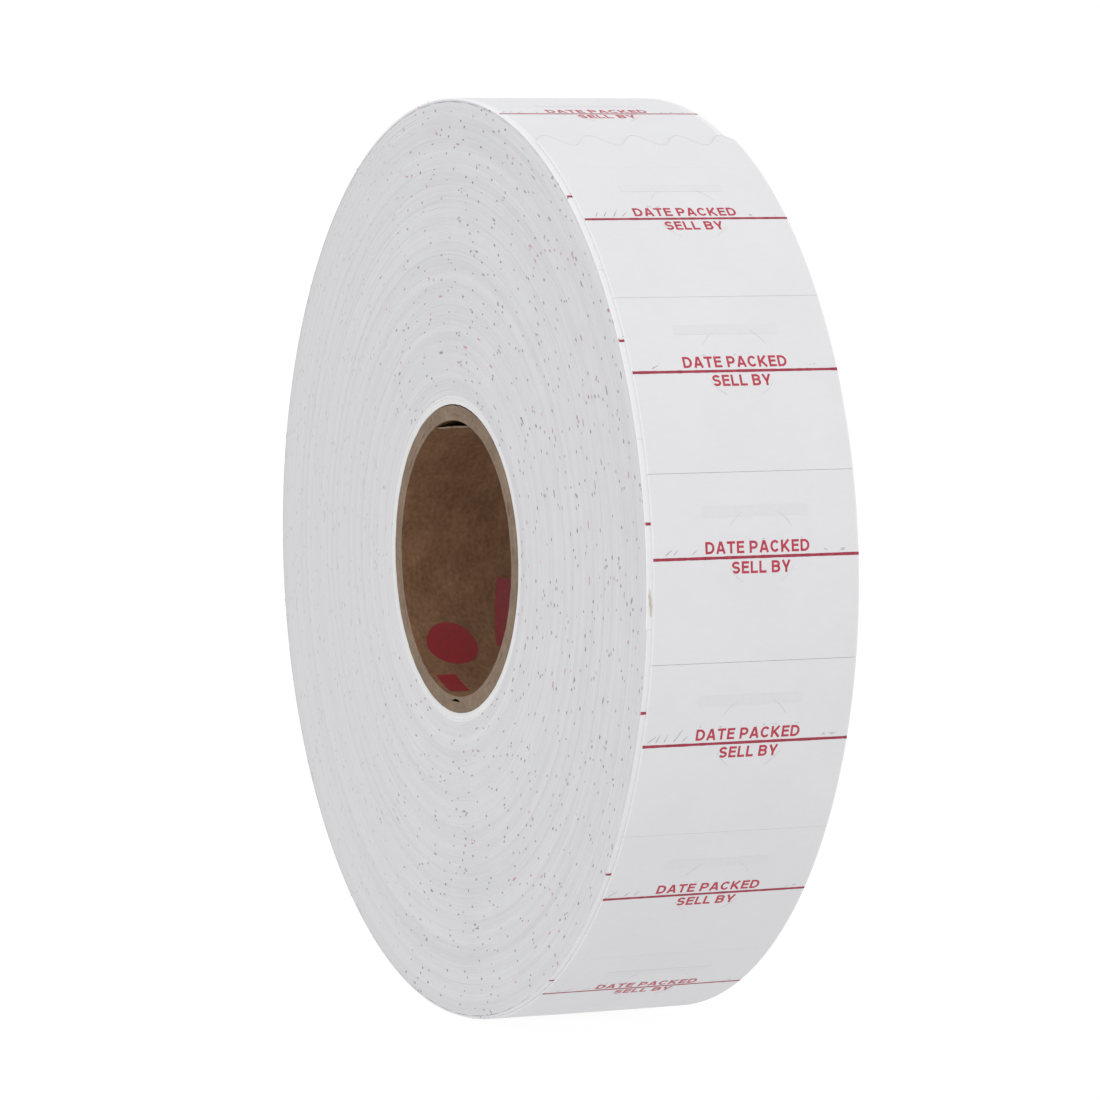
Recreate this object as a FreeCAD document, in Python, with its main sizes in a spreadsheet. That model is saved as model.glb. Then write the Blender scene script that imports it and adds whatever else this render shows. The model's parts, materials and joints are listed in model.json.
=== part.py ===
"""A roll of two-line price-marking labels on a kraft paper core, ready for a hand labeller.

All sizes are in millimetres. The roll's axis is Y, Z is up, and the origin is the middle of the core's bore.
Angles are measured about the axis from +X towards +Z, and the web winds inwards from its free end with
falling angle. Every lap is drawn as part of a circle, one web thickness inside the lap that covers it.
"""
import FreeCAD, Part
import os

# Driving dimensions: alias, value, what it is.
DIMENSIONS = [
    ("roll_radius", 41.0, "outside of the labels on the outermost lap"),
    ("web_width", 19.05, "width of the liner and of every label"),
    ("label_pitch", 15.875, "from one die cut to the next, along the web"),
    ("label_gap", 0.2, "die cut between two labels"),
    ("label_thickness", 0.09, "face paper with its adhesive"),
    ("liner_thickness", 0.065, "release paper"),
    ("release_gap", 0.02, "between the leading label and the liner it peels from"),
    ("fold_gap", 0.08, "between two pieces of liner at a fold line"),
    ("tail_clearance", 0.06, "between the loose tail and the lap under it"),
    ("fold_angle", -8.49, "where the loose tail starts"),
    ("tail_end_angle", 65.0, "middle of the scalloped cut that ends the web"),
    ("scallop_chord", 2.1, "width of one scallop of the cut"),
    ("scallop_height", 1.0, "height of one scallop above or below the middle"),
    ("scallop_start", -1.75, "first crossing of the middle line, outside the web's far edge"),
    ("outer_lap_shift", 0.525, "how far the outer lap has slipped along the axis"),
    ("leader_thickness", 0.8, "blank laps next to the core"),
    ("core_bore_radius", 12.3, "inside of the core"),
    ("core_recess", 0.4, "how far each end of the core stands back from the side of the wound web"),
    ("ply_thickness", 0.48, "one of the core's three plies"),
    ("inner_seam_angle", 84.0, "start of the open seam of the core's inner ply"),
    ("inner_seam_sweep", 9.0, "width of that seam"),
    ("outer_seam_angle", 262.0, "start of the butt seam of the core's outer ply"),
    ("outer_seam_sweep", 1.6, "width of that seam"),
]
FULL_TURN = 360
OUTER_LAP_LABELS = 12
COVERED_LABELS = 4
TAIL_LABELS = 3
CUTTER_MARGIN = 1.0
CUTTER_REACH = 10.0
SWEEP_PAST_END = 4.0

# Radii of the web's layers from the outside in, as expressions of the sheet's cells.
LABEL_TOP = "Sizes.roll_radius"
LINER_TOP = f"({LABEL_TOP} - Sizes.label_thickness)"
LINER_FLOOR = f"({LINER_TOP} - Sizes.liner_thickness)"
COVERED_TOP = f"({LINER_FLOOR} - Sizes.tail_clearance)"
COVERED_LINER_TOP = f"({COVERED_TOP} - Sizes.label_thickness)"
COVERED_FLOOR = f"({COVERED_LINER_TOP} - Sizes.liner_thickness)"

# Angles that one label, one die cut and one fold take up on the outer lap.
PITCH_SWEEP = f"(Sizes.label_pitch / {LINER_TOP} * 180 / pi)"
CUT_SWEEP = f"(Sizes.label_gap / {LINER_TOP} * 180 / pi)"
FOLD_SWEEP = f"(Sizes.fold_gap / {LINER_TOP} * 180 / pi)"
COVERED_SWEEP = f"({FULL_TURN} - {OUTER_LAP_LABELS} * {PITCH_SWEEP})"

# Where things lie along the axis: their high-Y edge, for the pack, the slipped outer lap and the core.
PACK_EDGE = "Sizes.web_width / 2"
OUTER_LAP_EDGE = "Sizes.web_width / 2 + Sizes.outer_lap_shift"
CORE_EDGE = "Sizes.web_width / 2 - Sizes.core_recess"
CORE_LENGTH = "Sizes.web_width - 2 * Sizes.core_recess"

doc = FreeCAD.newDocument("label_roll")
sub_parts = []


def make_sheet():
    """The spreadsheet of driving dimensions, one row each."""
    sheet = doc.addObject("Spreadsheet::Sheet", "Sizes")
    for row, (alias, value, note) in enumerate(DIMENSIONS, start=1):
        sheet.set(f"A{row}", note)
        sheet.set(f"B{row}", str(value))
        sheet.setAlias(f"B{row}", alias)
    doc.recompute()
    return sheet


def cylinder(name, radius, start="0", sweep=str(FULL_TURN), length="Sizes.web_width"):
    """A cylinder about the local Z axis, or the sector of one that begins at the start angle."""
    solid = doc.addObject("Part::Cylinder", name)
    solid.Placement = FreeCAD.Placement(FreeCAD.Vector(), FreeCAD.Rotation(FreeCAD.Vector(0, 0, 1), 1))
    solid.setExpression("Radius", radius)
    solid.setExpression("Height", length)
    solid.setExpression("Angle", sweep)
    solid.setExpression("Placement.Rotation.Angle", start)
    return solid


def cut(name, base, tool):
    """The base less the tool."""
    result = doc.addObject("Part::Cut", name)
    result.Base = base
    result.Tool = tool
    return result


def ring(name, inner, outer, start="0", sweep=str(FULL_TURN), length="Sizes.web_width"):
    """The space between two radii, all the way round or from the start angle on."""
    outside = cylinder(f"{name}_outside", outer, start, sweep, length)
    return cut(name, outside, cylinder(f"{name}_inside", inner, length=length))


def keep(solid, label, edge):
    """Turns a solid's local Z axis to -Y, slides it along the axis and keeps it as a sub-part."""
    upright = FreeCAD.Rotation(FreeCAD.Vector(1, 0, 0), 90)
    solid.Placement = FreeCAD.Placement(FreeCAD.Vector(), upright)
    solid.setExpression("Placement.Base.y", edge)
    solid.Label = label
    sub_parts.append(solid)


def pitches_from_fold(count):
    """The angle of a die cut, counted in labels from the fold where the tail starts."""
    return f"(Sizes.fold_angle + {count} * {PITCH_SWEEP})"


def label(name, inner, outer, cut_angle, edge=OUTER_LAP_EDGE):
    """One whole label, which begins half a die cut after the angle given."""
    start = f"{cut_angle} + {CUT_SWEEP} / 2"
    keep(ring(f"solid_{name}", inner, outer, start, f"{PITCH_SWEEP} - {CUT_SWEEP}"), name, edge)


def liner(name, start, sweep):
    """One stretch of the outer lap's liner, short of the fold line at each end by half the fold gap."""
    begin = f"{start} + {FOLD_SWEEP} / 2"
    stretch = ring(f"solid_{name}", LINER_FLOOR, LINER_TOP, begin, f"{sweep} - {FOLD_SWEEP}")
    keep(stretch, name, OUTER_LAP_EDGE)


def make_core():
    """Three plies of kraft paper. The inner one has an open seam and the outer one a narrow butt seam."""
    radii = [f"(Sizes.core_bore_radius + {ply} * Sizes.ply_thickness)" for ply in range(4)]
    inner = ring(
        "solid_core_inner_ply",
        radii[0],
        radii[1],
        "Sizes.inner_seam_angle + Sizes.inner_seam_sweep",
        f"{FULL_TURN} - Sizes.inner_seam_sweep",
        CORE_LENGTH,
    )
    middle = ring("solid_core_middle_ply", radii[1], radii[2], length=CORE_LENGTH)
    outer = ring(
        "solid_core_outer_ply",
        radii[2],
        radii[3],
        "Sizes.outer_seam_angle + Sizes.outer_seam_sweep",
        f"{FULL_TURN} - Sizes.outer_seam_sweep",
        CORE_LENGTH,
    )
    keep(inner, "core_inner_ply", CORE_EDGE)
    keep(middle, "core_middle_ply", CORE_EDGE)
    keep(outer, "core_outer_ply", CORE_EDGE)
    return radii[3]


def make_wound_pack(core_outside):
    """The blank leader on the core, then all the laps below the outermost, with room for the covered lap."""
    leader_top = f"({core_outside} + Sizes.leader_thickness)"
    keep(ring("solid_leader_laps", core_outside, leader_top), "leader_laps", PACK_EDGE)
    laps = ring("all_laps", leader_top, LINER_FLOOR)
    room = ring("covered_lap_room", COVERED_FLOOR, "Sizes.roll_radius", "Sizes.fold_angle", COVERED_SWEEP)
    keep(cut("solid_wound_laps", laps, room), "wound_laps", PACK_EDGE)


def make_covered_lap():
    """The lap under the loose tail: its liner and the labels that show when the tail lifts."""
    covered = ring(
        "solid_covered_lap_liner", COVERED_FLOOR, COVERED_LINER_TOP, "Sizes.fold_angle", COVERED_SWEEP
    )
    keep(covered, "covered_lap_liner", PACK_EDGE)
    last_cut = pitches_from_fold(-OUTER_LAP_LABELS)
    for number in range(1, COVERED_LABELS + 1):
        cut_angle = f"({last_cut} - {number} * {PITCH_SWEEP} + {FULL_TURN})"
        label(f"covered_label_{number}", COVERED_LINER_TOP, COVERED_TOP, cut_angle, PACK_EDGE)


def make_outer_lap():
    """The outermost lap that stays on the roll: one stretch of liner and its labels."""
    sweep = f"{OUTER_LAP_LABELS} * {PITCH_SWEEP}"
    liner("outer_lap_liner", pitches_from_fold(-OUTER_LAP_LABELS), sweep)
    for number in range(1, OUTER_LAP_LABELS + 1):
        label(f"outer_label_{number:02d}", LINER_TOP, LABEL_TOP, pitches_from_fold(-number))


def make_scallop_cutter(sheet):
    """The space past the web's free end, whose near side is a row of arcs that bow out and in by turns."""
    half_way = sheet.scallop_chord / 2
    across = sheet.scallop_start
    side = 1
    edges = []
    while across < sheet.web_width + CUTTER_MARGIN:
        begin = FreeCAD.Vector(0, 0, across)
        middle = FreeCAD.Vector(0, -side * sheet.scallop_height, across + half_way)
        end = FreeCAD.Vector(0, 0, across + sheet.scallop_chord)
        edges.append(Part.Arc(begin, middle, end).toShape())
        across += sheet.scallop_chord
        side = -side
    corners = [
        FreeCAD.Vector(0, 0, across),
        FreeCAD.Vector(0, CUTTER_REACH, across),
        FreeCAD.Vector(0, CUTTER_REACH, sheet.scallop_start),
        FreeCAD.Vector(0, 0, sheet.scallop_start),
    ]
    for begin, end in zip(corners[:-1], corners[1:]):
        edges.append(Part.LineSegment(begin, end).toShape())
    outline = Part.Face(Part.Wire(edges))
    cutter = doc.addObject("Part::Feature", "scallop_cutter")
    cutter.Shape = outline.extrude(FreeCAD.Vector(2 * CUTTER_MARGIN, 0, 0))
    about_axis = FreeCAD.Rotation(FreeCAD.Vector(0, 0, 1), sheet.tail_end_angle)
    place = about_axis.multVec(FreeCAD.Vector(sheet.roll_radius - 1.5 * CUTTER_MARGIN, 0, 0))
    cutter.Placement = FreeCAD.Placement(place, about_axis)
    return cutter


def scalloped_strip(name, inner, outer, start, cutter):
    """A strip of web from the start angle to the scalloped cut at the web's free end."""
    sweep = f"(Sizes.tail_end_angle - {start} + {SWEEP_PAST_END})"
    blank = ring(f"blank_{name}", inner, outer, start, sweep)
    keep(cut(f"solid_{name}", blank, cutter), name, OUTER_LAP_EDGE)


def make_tail(cutter):
    """The loose tail: three stretches of liner that fold at the die cuts, each with the label it carries."""
    for number, place in enumerate(("base", "middle")):
        liner(f"tail_liner_{place}", pitches_from_fold(number), PITCH_SWEEP)
        label(f"tail_label_{place}", LINER_TOP, LABEL_TOP, pitches_from_fold(number))
    last_fold = f"({pitches_from_fold(TAIL_LABELS - 1)} + {FOLD_SWEEP} / 2)"
    scalloped_strip("tail_liner_end", LINER_FLOOR, LINER_TOP, last_fold, cutter)
    leading_floor = f"({LINER_TOP} + Sizes.release_gap)"
    label("leading_label", leading_floor, LABEL_TOP, pitches_from_fold(TAIL_LABELS - 1))
    stub_start = f"({pitches_from_fold(TAIL_LABELS)} + {CUT_SWEEP} / 2)"
    scalloped_strip("cut_label_stub", LINER_TOP, LABEL_TOP, stub_start, cutter)


def check_document():
    """Stops if any object failed to build or any sub-part has no valid solid."""
    for item in doc.Objects:
        if "Invalid" in item.State or "Error" in item.State:
            raise RuntimeError(f"{item.Name} failed: {item.State}")
    for solid in sub_parts:
        if solid.Shape.isNull() or not solid.Shape.isValid() or len(solid.Shape.Solids) != 1:
            raise RuntimeError(f"{solid.Label} is not one valid solid")


def export_parts():
    """Writes each sub-part to a STEP file of its own, named by its label."""
    os.makedirs("parts", exist_ok=True)
    for solid in sub_parts:
        solid.Shape.exportStep(os.path.join("parts", f"{solid.Label}.step"))
        print(f"{solid.Label}: {solid.Shape.Volume:.2f} mm3")


sizes = make_sheet()
core_radius = make_core()
make_wound_pack(core_radius)
make_covered_lap()
make_outer_lap()
make_tail(make_scallop_cutter(sizes))
doc.recompute()
check_document()
export_parts()
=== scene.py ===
"""The looks of a roll of price-marking labels: the wound web, its labels and print, and the kraft core."""
import json
import math
import random

import bpy
from mathutils import Matrix, Vector


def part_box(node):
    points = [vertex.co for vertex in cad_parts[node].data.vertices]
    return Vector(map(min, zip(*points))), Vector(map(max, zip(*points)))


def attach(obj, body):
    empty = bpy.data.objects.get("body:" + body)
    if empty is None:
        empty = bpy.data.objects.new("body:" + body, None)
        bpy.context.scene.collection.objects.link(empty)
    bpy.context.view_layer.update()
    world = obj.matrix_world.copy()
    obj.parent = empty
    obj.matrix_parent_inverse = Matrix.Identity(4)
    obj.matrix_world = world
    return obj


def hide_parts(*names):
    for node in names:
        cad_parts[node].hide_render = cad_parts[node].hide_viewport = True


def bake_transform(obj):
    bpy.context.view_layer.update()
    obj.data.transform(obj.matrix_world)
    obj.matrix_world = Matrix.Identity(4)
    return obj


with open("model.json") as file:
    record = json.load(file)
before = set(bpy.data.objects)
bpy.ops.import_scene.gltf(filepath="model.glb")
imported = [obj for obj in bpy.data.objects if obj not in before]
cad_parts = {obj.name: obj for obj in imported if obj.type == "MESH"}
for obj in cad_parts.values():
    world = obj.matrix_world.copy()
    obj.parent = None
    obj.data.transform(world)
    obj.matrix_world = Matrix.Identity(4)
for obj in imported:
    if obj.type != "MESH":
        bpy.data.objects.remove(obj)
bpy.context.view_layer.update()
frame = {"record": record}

MM = 0.001
FULL_TURN = 360.0

# Places and sizes that the frame gives.
record = frame["record"]
fold_points = {joint["name"]: joint["pos_m"] for joint in record["behaviour"]["joints"]}
bore_radius = next(mount["dims"]["r_mm"] for mount in record["mounts"] if mount["name"] == "core_bore") * MM
roll_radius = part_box("tail_label_base")[1].x
core_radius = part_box("core_outer_ply")[1].z
leader_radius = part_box("leader_laps")[1].z
core_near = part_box("core_inner_ply")[0].y
core_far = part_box("core_inner_ply")[1].y
pack_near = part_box("wound_laps")[0].y
pack_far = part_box("wound_laps")[1].y
outer_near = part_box("outer_lap_liner")[0].y
web_width = pack_far - pack_near
outer_shift = outer_near - pack_near


def angle_of(point):
    """The angle in degrees of a point about the roll's axis, from +X towards +Z."""
    return math.degrees(math.atan2(point[2], point[0]))


FOLDS = ("tail_end_fold", "tail_middle_fold", "tail_base_fold")
fold_angles = [angle_of(fold_points[name]) for name in FOLDS]

# The web, in metres. It winds inwards by one lap thickness a turn from its free end.
TAIL_END = 65.0
LABEL_THICKNESS = 0.090 * MM
LINER_THICKNESS = 0.067 * MM
WEB_THICKNESS = LABEL_THICKNESS + LINER_THICKNESS
LAP = 0.160 * MM
PITCH = 15.875 * MM
DIE_CUT = 0.022 * MM
TIP_CUT = 0.008 * MM
FOLDED_CUT = 0.036 * MM
ROOT_CUT = 0.045 * MM
OUTER_TOP = roll_radius - 0.02 * MM
TURN_SLACK = 0.22 * MM
LENGTH_RADIUS = OUTER_TOP + TURN_SLACK / (2 * math.pi)
RULE_FROM_CUT = 7.12 * MM
TAIL_LABELS = 3
OUTER_LABELS = 12
COVERED_LABELS = 4
LAP_LABELS = 16
SCALLOP_HALF = 2.1 * MM
SCALLOP_DEPTH = 0.98 * MM
SCALLOP_START = -2.0 * MM
SHIFT_KEPT_TO = 200.0
SHIFT_GONE_BY = 335.0


def smooth(low, high, value):
    """0 below low, 1 above high, and a smooth rise between them."""
    t = min(max((value - low) / (high - low), 0.0), 1.0)
    return t * t * (3 - 2 * t)


def polar(angle, radius, across):
    """The point at an angle in degrees and a radius about the roll's axis, that far along it."""
    turned = math.radians(angle)
    return (radius * math.cos(turned), across, radius * math.sin(turned))


def web_top(wound):
    """The outer radius of the web, wound degrees in from its free end."""
    return OUTER_TOP - LAP * wound / FULL_TURN


def web_length(wound):
    """The length of web outside that point, from the free end on, with a little slack in every turn."""
    return math.radians(1) * (LENGTH_RADIUS * wound - LAP * wound * wound / (2 * FULL_TURN))


def wound_at(length):
    """The inverse of web_length."""
    reach = LENGTH_RADIUS / LAP * FULL_TURN
    return reach - math.sqrt(reach * reach - 2 * length * FULL_TURN / (math.radians(1) * LAP))


base_cut_length = web_length(TAIL_END - fold_angles[-1])


def cut_wound(number):
    """Where die cut 0 (at the leading label's front edge), 1, 2 and so on lies, in degrees wound."""
    if 1 <= number <= TAIL_LABELS:
        return TAIL_END - fold_angles[number - 1]
    return wound_at(base_cut_length + (number - TAIL_LABELS) * PITCH)


rng = random.Random(11)
GROUP_SLIPS = [rng.random() for _ in range(60)]
LAP_SLIPS = [rng.random() for _ in range(240)]
LAPS_IN_GROUP = 3.7
LEAST_SLIP = 0.015 * MM
GROUP_SLIP = 0.045 * MM
LAP_SLIP = 0.014 * MM
DISH_DEPTH = 0.40 * MM
DISH_WIDTH = 3.2 * MM


def between_knots(knots, place):
    """The value at a place between evenly spaced knots, eased from one to the next."""
    index = int(place)
    share = smooth(0, 1, place - index)
    return knots[index] * (1 - share) + knots[index + 1] * share


def slip(wound):
    """How far a lap's near edge stands back from the pack's face, as laps slide on each other."""
    turn = wound / FULL_TURN
    groups = between_knots(GROUP_SLIPS, turn / LAPS_IN_GROUP)
    return LEAST_SLIP + GROUP_SLIP * groups + LAP_SLIP * between_knots(LAP_SLIPS, turn)


def dish(radius):
    """How far a side of the pack falls away towards the core, whose ends stand back."""
    return DISH_DEPTH * (1 - smooth(core_radius, core_radius + DISH_WIDTH, radius))


def near_edge(wound):
    """The near edge of the web: the outer lap has slipped along the axis, the laps below it hardly."""
    kept = 1 - smooth(SHIFT_KEPT_TO, SHIFT_GONE_BY, wound)
    return pack_near + outer_shift * kept + slip(wound) * (1 - kept)


# Mesh building.
def add_mesh(name, vertices, faces, materials, body, smooth_faces=True, slots=None):
    """A mesh piece in metres in the row frame, that rides on a body."""
    mesh = bpy.data.meshes.new(name)
    mesh.from_pydata([tuple(v) for v in vertices], [], faces)
    for material in materials:
        mesh.materials.append(material)
    if slots is not None:
        mesh.polygons.foreach_set("material_index", slots)
    mesh.polygons.foreach_set("use_smooth", [smooth_faces] * len(mesh.polygons))
    mesh.validate()
    mesh.update()
    piece = bpy.data.objects.new(name, mesh)
    bpy.context.scene.collection.objects.link(piece)
    if body:
        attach(piece, body)
    return piece


def shell_faces(rows, columns, closed_rows=False):
    """Faces of a thin shell whose outer grid comes first and inner grid second, with walls round it."""
    def outer(row, column):
        return (row % rows) * columns + column

    def inner(row, column):
        return rows * columns + outer(row, column)

    faces = []
    last_row = rows if closed_rows else rows - 1
    for row in range(last_row):
        for column in range(columns - 1):
            corners = [(row, column), (row + 1, column), (row + 1, column + 1), (row, column + 1)]
            faces.append([outer(*corner) for corner in corners])
            faces.append([inner(*corner) for corner in reversed(corners)])
        for column in (0, columns - 1):
            wall = [outer(row, column), inner(row, column), inner(row + 1, column), outer(row + 1, column)]
            faces.append(wall if column == 0 else wall[::-1])
    if not closed_rows:
        for column in range(columns - 1):
            for row in (0, rows - 1):
                after = column + 1
                wall = [outer(row, column), outer(row, after), inner(row, after), inner(row, column)]
                faces.append(wall if row == 0 else wall[::-1])
    return faces


def shell(name, outer, inner, materials, body, closed_rows=False, slot_of=None):
    """A thin closed shell between two grids of points, whose faces take the material that slot_of picks."""
    rows, columns = len(outer), len(outer[0])
    vertices = [point for row in outer for point in row] + [point for row in inner for point in row]
    piece = add_mesh(name, vertices, shell_faces(rows, columns, closed_rows), materials, body)
    if slot_of:
        for face in piece.data.polygons:
            face.material_index = slot_of(face)
    mark_sharp(piece)
    return piece


def mark_sharp(piece, limit=math.radians(35)):
    """Keeps edges that turn by more than the limit crisp under smooth shading."""
    piece.data.set_sharp_from_angle(angle=limit)


# Procedural materials.
class Paint:
    """One node material: a Principled shader, and short ways to add the nodes that feed it."""

    def __init__(self, name, roughness, specular=0.4):
        self.material = bpy.data.materials.new(name)
        self.material.use_nodes = True
        self.tree = self.material.node_tree
        self.shader = self.tree.nodes["Principled BSDF"]
        self.shader.inputs["Roughness"].default_value = roughness
        self.shader.inputs["Specular IOR Level"].default_value = specular
        self.place = self.tree.nodes.new("ShaderNodeTexCoord").outputs["Object"]

    def link(self, source, target):
        self.tree.links.new(source, target)

    def math(self, operation, first, second=None):
        node = self.tree.nodes.new("ShaderNodeMath")
        node.operation = operation
        for socket, value in zip(node.inputs, (first, second)):
            if value is None:
                continue
            if isinstance(value, (int, float)):
                socket.default_value = value
            else:
                self.link(value, socket)
        return node.outputs[0]

    def stretched(self, scale):
        node = self.tree.nodes.new("ShaderNodeMapping")
        node.inputs["Scale"].default_value = scale
        self.link(self.place, node.inputs["Vector"])
        return node.outputs[0]

    def noise(self, scale, detail=4.0, roughness=0.55, vector=None):
        node = self.tree.nodes.new("ShaderNodeTexNoise")
        node.inputs["Scale"].default_value = scale
        node.inputs["Detail"].default_value = detail
        node.inputs["Roughness"].default_value = roughness
        self.link(vector or self.place, node.inputs["Vector"])
        return node.outputs["Fac"]

    def ramp(self, value, stops):
        node = self.tree.nodes.new("ShaderNodeValToRGB")
        ramp = node.color_ramp
        while len(ramp.elements) < len(stops):
            ramp.elements.new(0.5)
        for element, (position, color) in zip(ramp.elements, stops):
            element.position = position
            element.color = (*color, 1.0)
        self.link(value, node.inputs["Fac"])
        return node.outputs["Color"]

    def mix(self, share, first, second, blend="MIX"):
        node = self.tree.nodes.new("ShaderNodeMix")
        node.data_type = "RGBA"
        node.blend_type = blend
        if isinstance(share, (int, float)):
            node.inputs["Factor"].default_value = share
        else:
            self.link(share, node.inputs["Factor"])
        for socket, value in zip((node.inputs["A"], node.inputs["B"]), (first, second)):
            if isinstance(value, tuple):
                socket.default_value = (*value, 1.0)
            else:
                self.link(value, socket)
        return node.outputs["Result"]

    def color(self, source):
        self.link(source, self.shader.inputs["Base Color"])

    def rough(self, value, low, high):
        node = self.tree.nodes.new("ShaderNodeMapRange")
        node.inputs["To Min"].default_value = low
        node.inputs["To Max"].default_value = high
        self.link(value, node.inputs["Value"])
        self.link(node.outputs[0], self.shader.inputs["Roughness"])

    def bump(self, height, distance, strength=1.0):
        node = self.tree.nodes.new("ShaderNodeBump")
        node.inputs["Strength"].default_value = strength
        node.inputs["Distance"].default_value = distance
        self.link(height, node.inputs["Height"])
        self.link(node.outputs[0], self.shader.inputs["Normal"])

    def lap_place(self, lap_number, step, around):
        """A place for noise that moves by step from lap to lap, and slowly round each lap."""
        move = self.tree.nodes.new("ShaderNodeVectorMath")
        move.operation = "MULTIPLY_ADD"
        self.link(self.place, move.inputs[0])
        move.inputs[1].default_value = (around, 0.0, around)
        apart = self.tree.nodes.new("ShaderNodeCombineXYZ")
        self.link(self.math("MULTIPLY", lap_number, step), apart.inputs["Y"])
        self.link(apart.outputs[0], move.inputs[2])
        return move.outputs[0]

    def fade_along_x(self, none_at, full_at, most):
        """A share that grows from 0 to most between two places along X."""
        split = self.tree.nodes.new("ShaderNodeSeparateXYZ")
        self.link(self.place, split.inputs[0])
        node = self.tree.nodes.new("ShaderNodeMapRange")
        node.inputs["From Min"].default_value = none_at
        node.inputs["From Max"].default_value = full_at
        node.inputs["To Max"].default_value = most
        self.link(split.outputs["X"], node.inputs["Value"])
        return node.outputs[0]

    def lap_count(self):
        """How many laps in from the outermost a point of the wound web lies, growing evenly inwards."""
        split = self.tree.nodes.new("ShaderNodeSeparateXYZ")
        self.link(self.place, split.inputs[0])
        x, z = split.outputs["X"], split.outputs["Z"]
        squares = self.math("ADD", self.math("MULTIPLY", x, x), self.math("MULTIPLY", z, z))
        depth = self.math("SUBTRACT", OUTER_TOP, self.math("SQRT", squares))
        turned = self.math("MULTIPLY", self.math("ARCTAN2", z, x), 1 / (2 * math.pi))
        return self.math("ADD", self.math("DIVIDE", depth, LAP), turned)


def label_paper(name, dark, light):
    """Coated white label face: nearly flat, a little mottled, with faint fibres."""
    paint = Paint(name, 0.5)
    cloud = paint.noise(160.0, 3.0)
    fibre = paint.noise(1.0, 3.0, vector=paint.stretched((2600.0, 900.0, 2600.0)))
    tone = paint.ramp(cloud, [(0.3, (dark, dark, dark * 1.025)), (0.7, (light, light, light * 1.025))])
    fibres = paint.ramp(fibre, [(0.3, (dark * 0.93,) * 3), (0.7, (light * 1.05,) * 3)])
    paint.color(paint.mix(0.12, tone, fibres))
    paint.rough(fibre, 0.42, 0.62)
    paint.bump(fibre, 0.006 * MM, 0.5)
    return paint.material


def liner_paper():
    """Release paper: smooth, slightly warm and glossier than the labels."""
    paint = Paint("release_liner_paper", 0.35)
    fibre = paint.noise(1.0, 4.0, vector=paint.stretched((1800.0, 700.0, 1800.0)))
    paint.color(paint.ramp(fibre, [(0.25, (0.56, 0.555, 0.54)), (0.75, (0.62, 0.615, 0.60))]))
    paint.rough(fibre, 0.26, 0.42)
    paint.bump(fibre, 0.005 * MM, 0.4)
    return paint.material


def wound_paper(name, light, dark):
    """Slit edges of the wound web: a fine ring for every lap, in brighter and darker groups.

    The rings fade out towards -X, into a tone a little darker than their mean.
    """
    paint = Paint(name, 0.7, 0.2)
    laps = paint.lap_count()
    lap_number = paint.math("FLOOR", laps)
    within = paint.math("FRACT", laps)
    broad = paint.noise(1.0, 3.0, vector=paint.lap_place(lap_number, 0.16, 12.0))
    fine = paint.noise(1.0, 2.0, vector=paint.lap_place(lap_number, 0.83, 70.0))
    cloud = paint.noise(260.0, 5.0, 0.65)
    tone = paint.ramp(broad, [(0.32, dark), (0.68, light)])
    tone = paint.mix(0.45, tone, paint.ramp(fine, [(0.34, dark), (0.66, light)]))
    tone = paint.mix(0.25, tone, paint.ramp(cloud, [(0.3, dark), (0.7, light)]))
    seam = paint.math("GREATER_THAN", within, 0.84)
    depth = paint.math("MULTIPLY", seam, paint.math("MULTIPLY", fine, 0.42))
    tone = paint.mix(depth, tone, (0.30, 0.30, 0.32))
    even = tuple((a + b) / 2 * 0.98 for a, b in zip(light, dark))
    paint.color(paint.mix(paint.fade_along_x(-0.2 * roll_radius, -0.6 * roll_radius, 0.75), tone, even))
    paint.rough(cloud, 0.6, 0.85)
    paint.bump(paint.math("ADD", paint.math("MULTIPLY", fine, 0.8), cloud), 0.03 * MM, 0.6)
    return paint.material


def kraft_paper(name, dark, middle, light):
    """Brown kraft board: long pale and dark fibres over a mottled ground."""
    paint = Paint(name, 0.85, 0.15)
    ground = paint.noise(330.0, 6.0, 0.65)
    fibre = paint.noise(1.0, 5.0, 0.7, paint.stretched((900.0, 2400.0, 900.0)))
    specks = paint.noise(2600.0, 2.0, 0.5)
    tone = paint.ramp(ground, [(0.28, dark), (0.52, middle), (0.78, light)])
    fibres = paint.ramp(fibre, [(0.35, dark), (0.7, light)])
    tone = paint.mix(paint.math("MULTIPLY", fibre, 0.45), tone, fibres)
    tone = paint.mix(0.25, tone, paint.ramp(specks, [(0.3, dark), (0.66, light)]))
    paint.color(tone)
    paint.rough(ground, 0.75, 0.95)
    paint.bump(paint.math("ADD", ground, fibre), 0.08 * MM, 0.7)
    return paint.material


def ink(name, solid, worn):
    """Printing ink with slightly uneven cover; the same flat mark also serves for the painted shadow of the
    slits.
    """
    paint = Paint(name, 0.45)
    cover = paint.noise(2200.0, 3.0)
    paint.color(paint.ramp(cover, [(0.32, solid), (0.72, worn)]))
    paint.rough(cover, 0.38, 0.55)
    return paint.material


def floor_paint():
    """A plain pale floor."""
    paint = Paint("pale_floor", 0.9, 0.1)
    paint.color(paint.ramp(paint.noise(6.0), [(0.3, (0.09, 0.09, 0.09)), (0.7, (0.10, 0.10, 0.10))]))
    paint.shader.inputs["Emission Color"].default_value = (1.0, 1.0, 1.0, 1.0)
    paint.shader.inputs["Emission Strength"].default_value = 0.92
    return paint.material


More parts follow.
